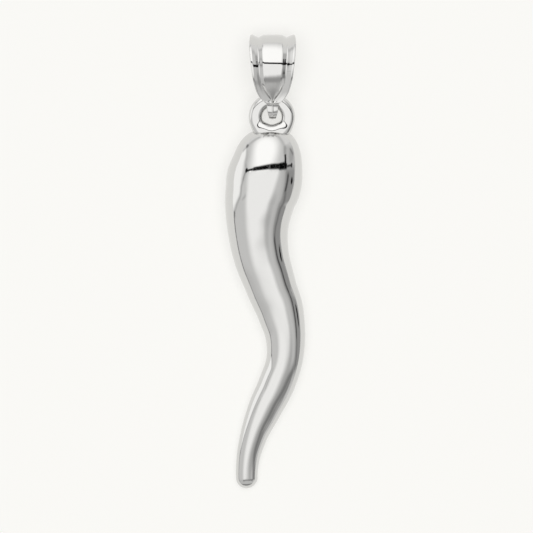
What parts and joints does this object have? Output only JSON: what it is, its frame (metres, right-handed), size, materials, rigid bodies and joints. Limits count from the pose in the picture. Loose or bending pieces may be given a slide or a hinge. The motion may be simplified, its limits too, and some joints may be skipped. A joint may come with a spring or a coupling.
{
  "type": "horn pendant",
  "caption": "Twisted good-luck horn pendant in polished white metal: a tapering S-curved horn with a soldered ring, and a fluted teardrop bail riding on the ring.",
  "frame": {"origin": "centre of the bounding box's bottom, on the surface that the pendant lies on", "axes": "+Y along the pendant, from the horn's tip to the top of the bail; +Z up, away from the surface, toward the pendant's front; +X to the right as seen from above with +Y up"},
  "size_m": [0.0088, 0.05, 0.0072],
  "materials": {
    "polished_horn": "mirror polished, rhodium-white",
    "polished_bail": "mirror polished, rhodium-white"
  },
  "bodies": {
    "root": {"horn": "polished_horn", "bail": "polished_bail"}
  },
  "joints": []
}
